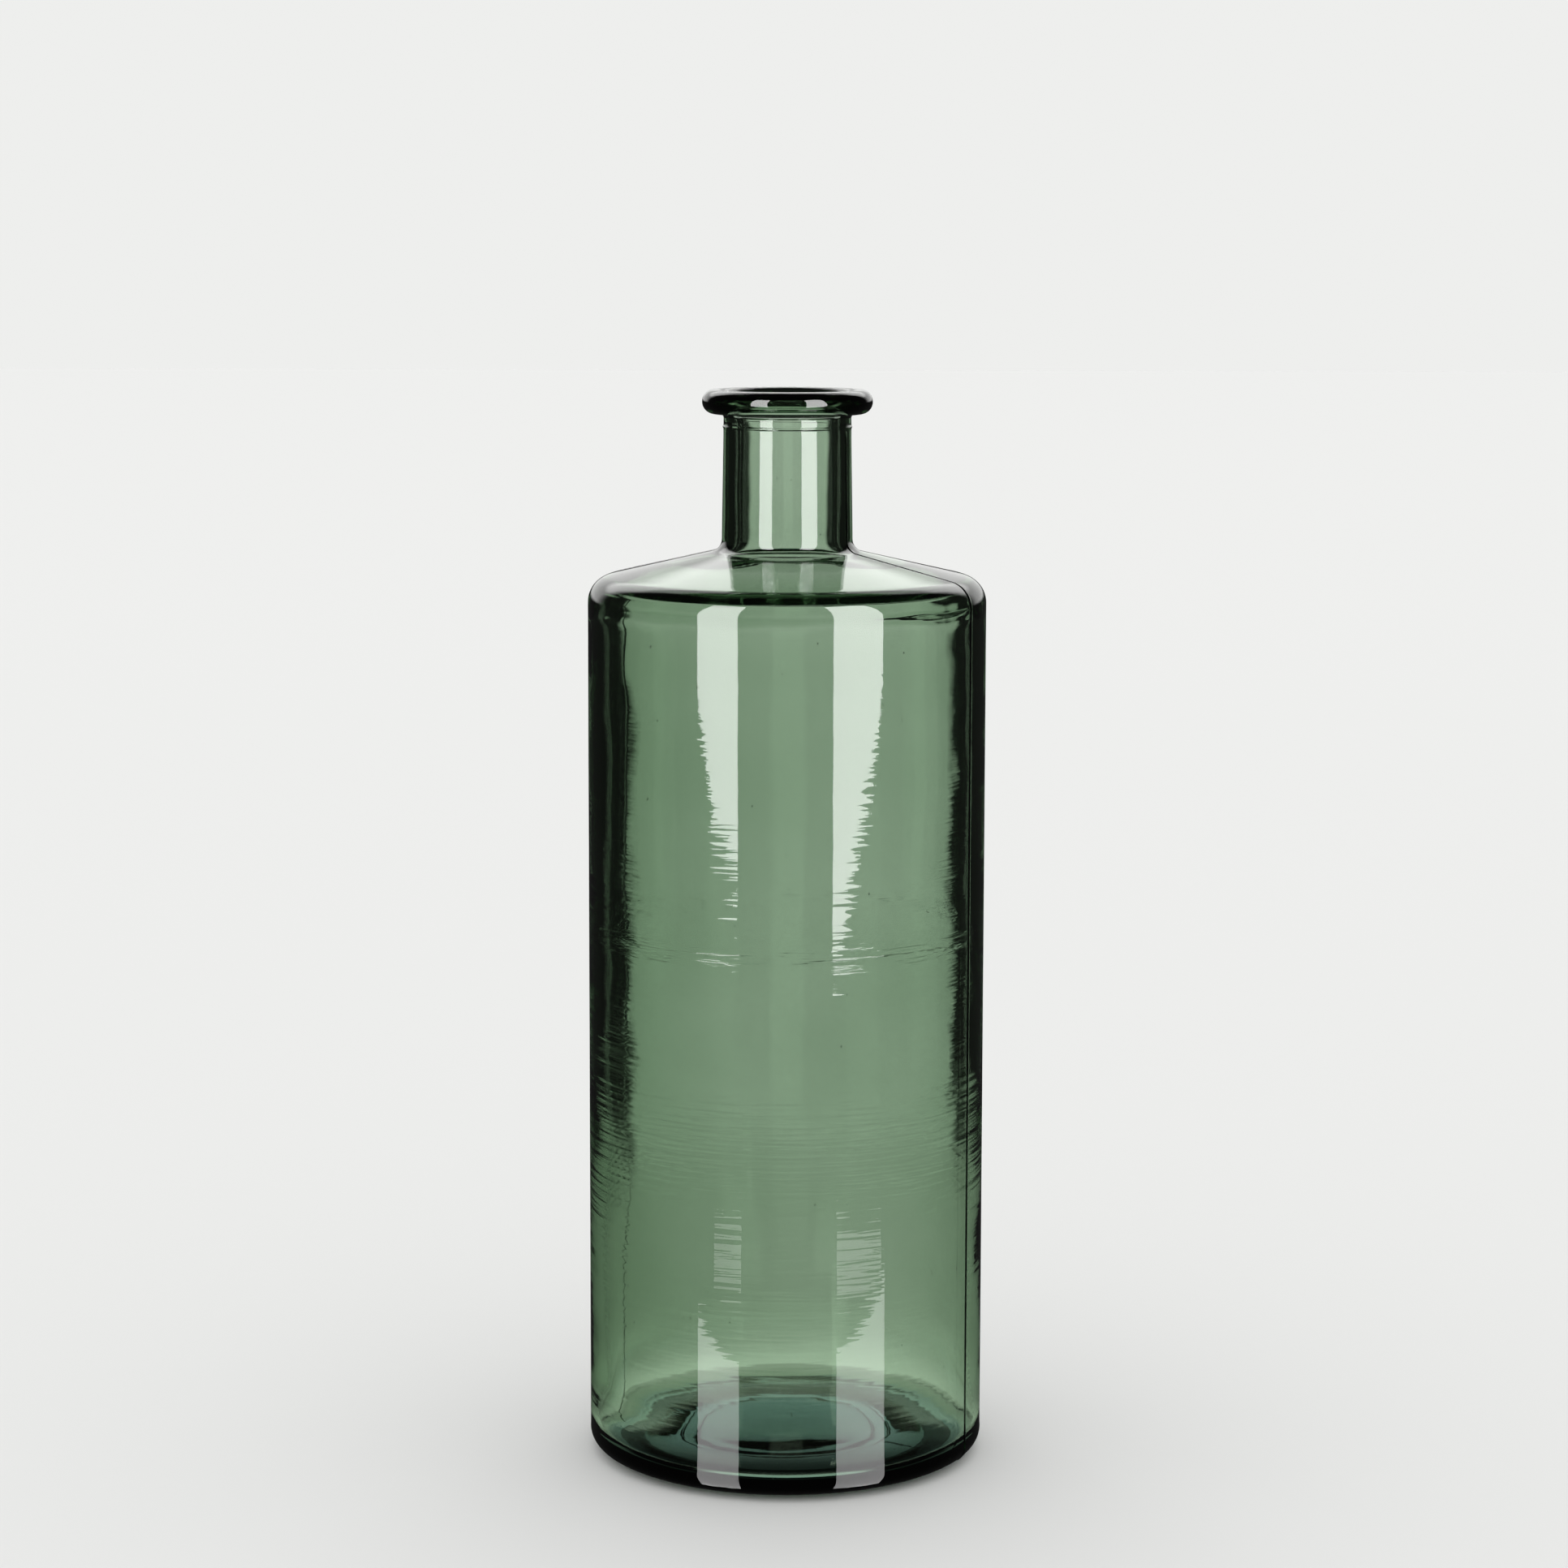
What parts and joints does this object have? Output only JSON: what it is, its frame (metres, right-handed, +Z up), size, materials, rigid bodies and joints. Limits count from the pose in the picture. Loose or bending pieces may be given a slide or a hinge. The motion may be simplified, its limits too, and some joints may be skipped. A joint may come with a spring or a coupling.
{
  "type": "glass carboy",
  "caption": "Straight-sided round glass bottle with a sloping shoulder, a narrow neck and a rolled lip round an open mouth.",
  "frame": {"origin": "centre of the foot, on the surface the bottle stands on", "axes": "+Z up the bottle's axis to the mouth; the front is -Y and the mould line is 65 degrees round from it towards +X"},
  "size_m": [0.148, 0.148, 0.4],
  "materials": {
    "bottle_glass": "glossy mould-blown grey-green glass"
  },
  "bodies": {
    "root": {"bottle": "bottle_glass"}
  },
  "joints": []
}
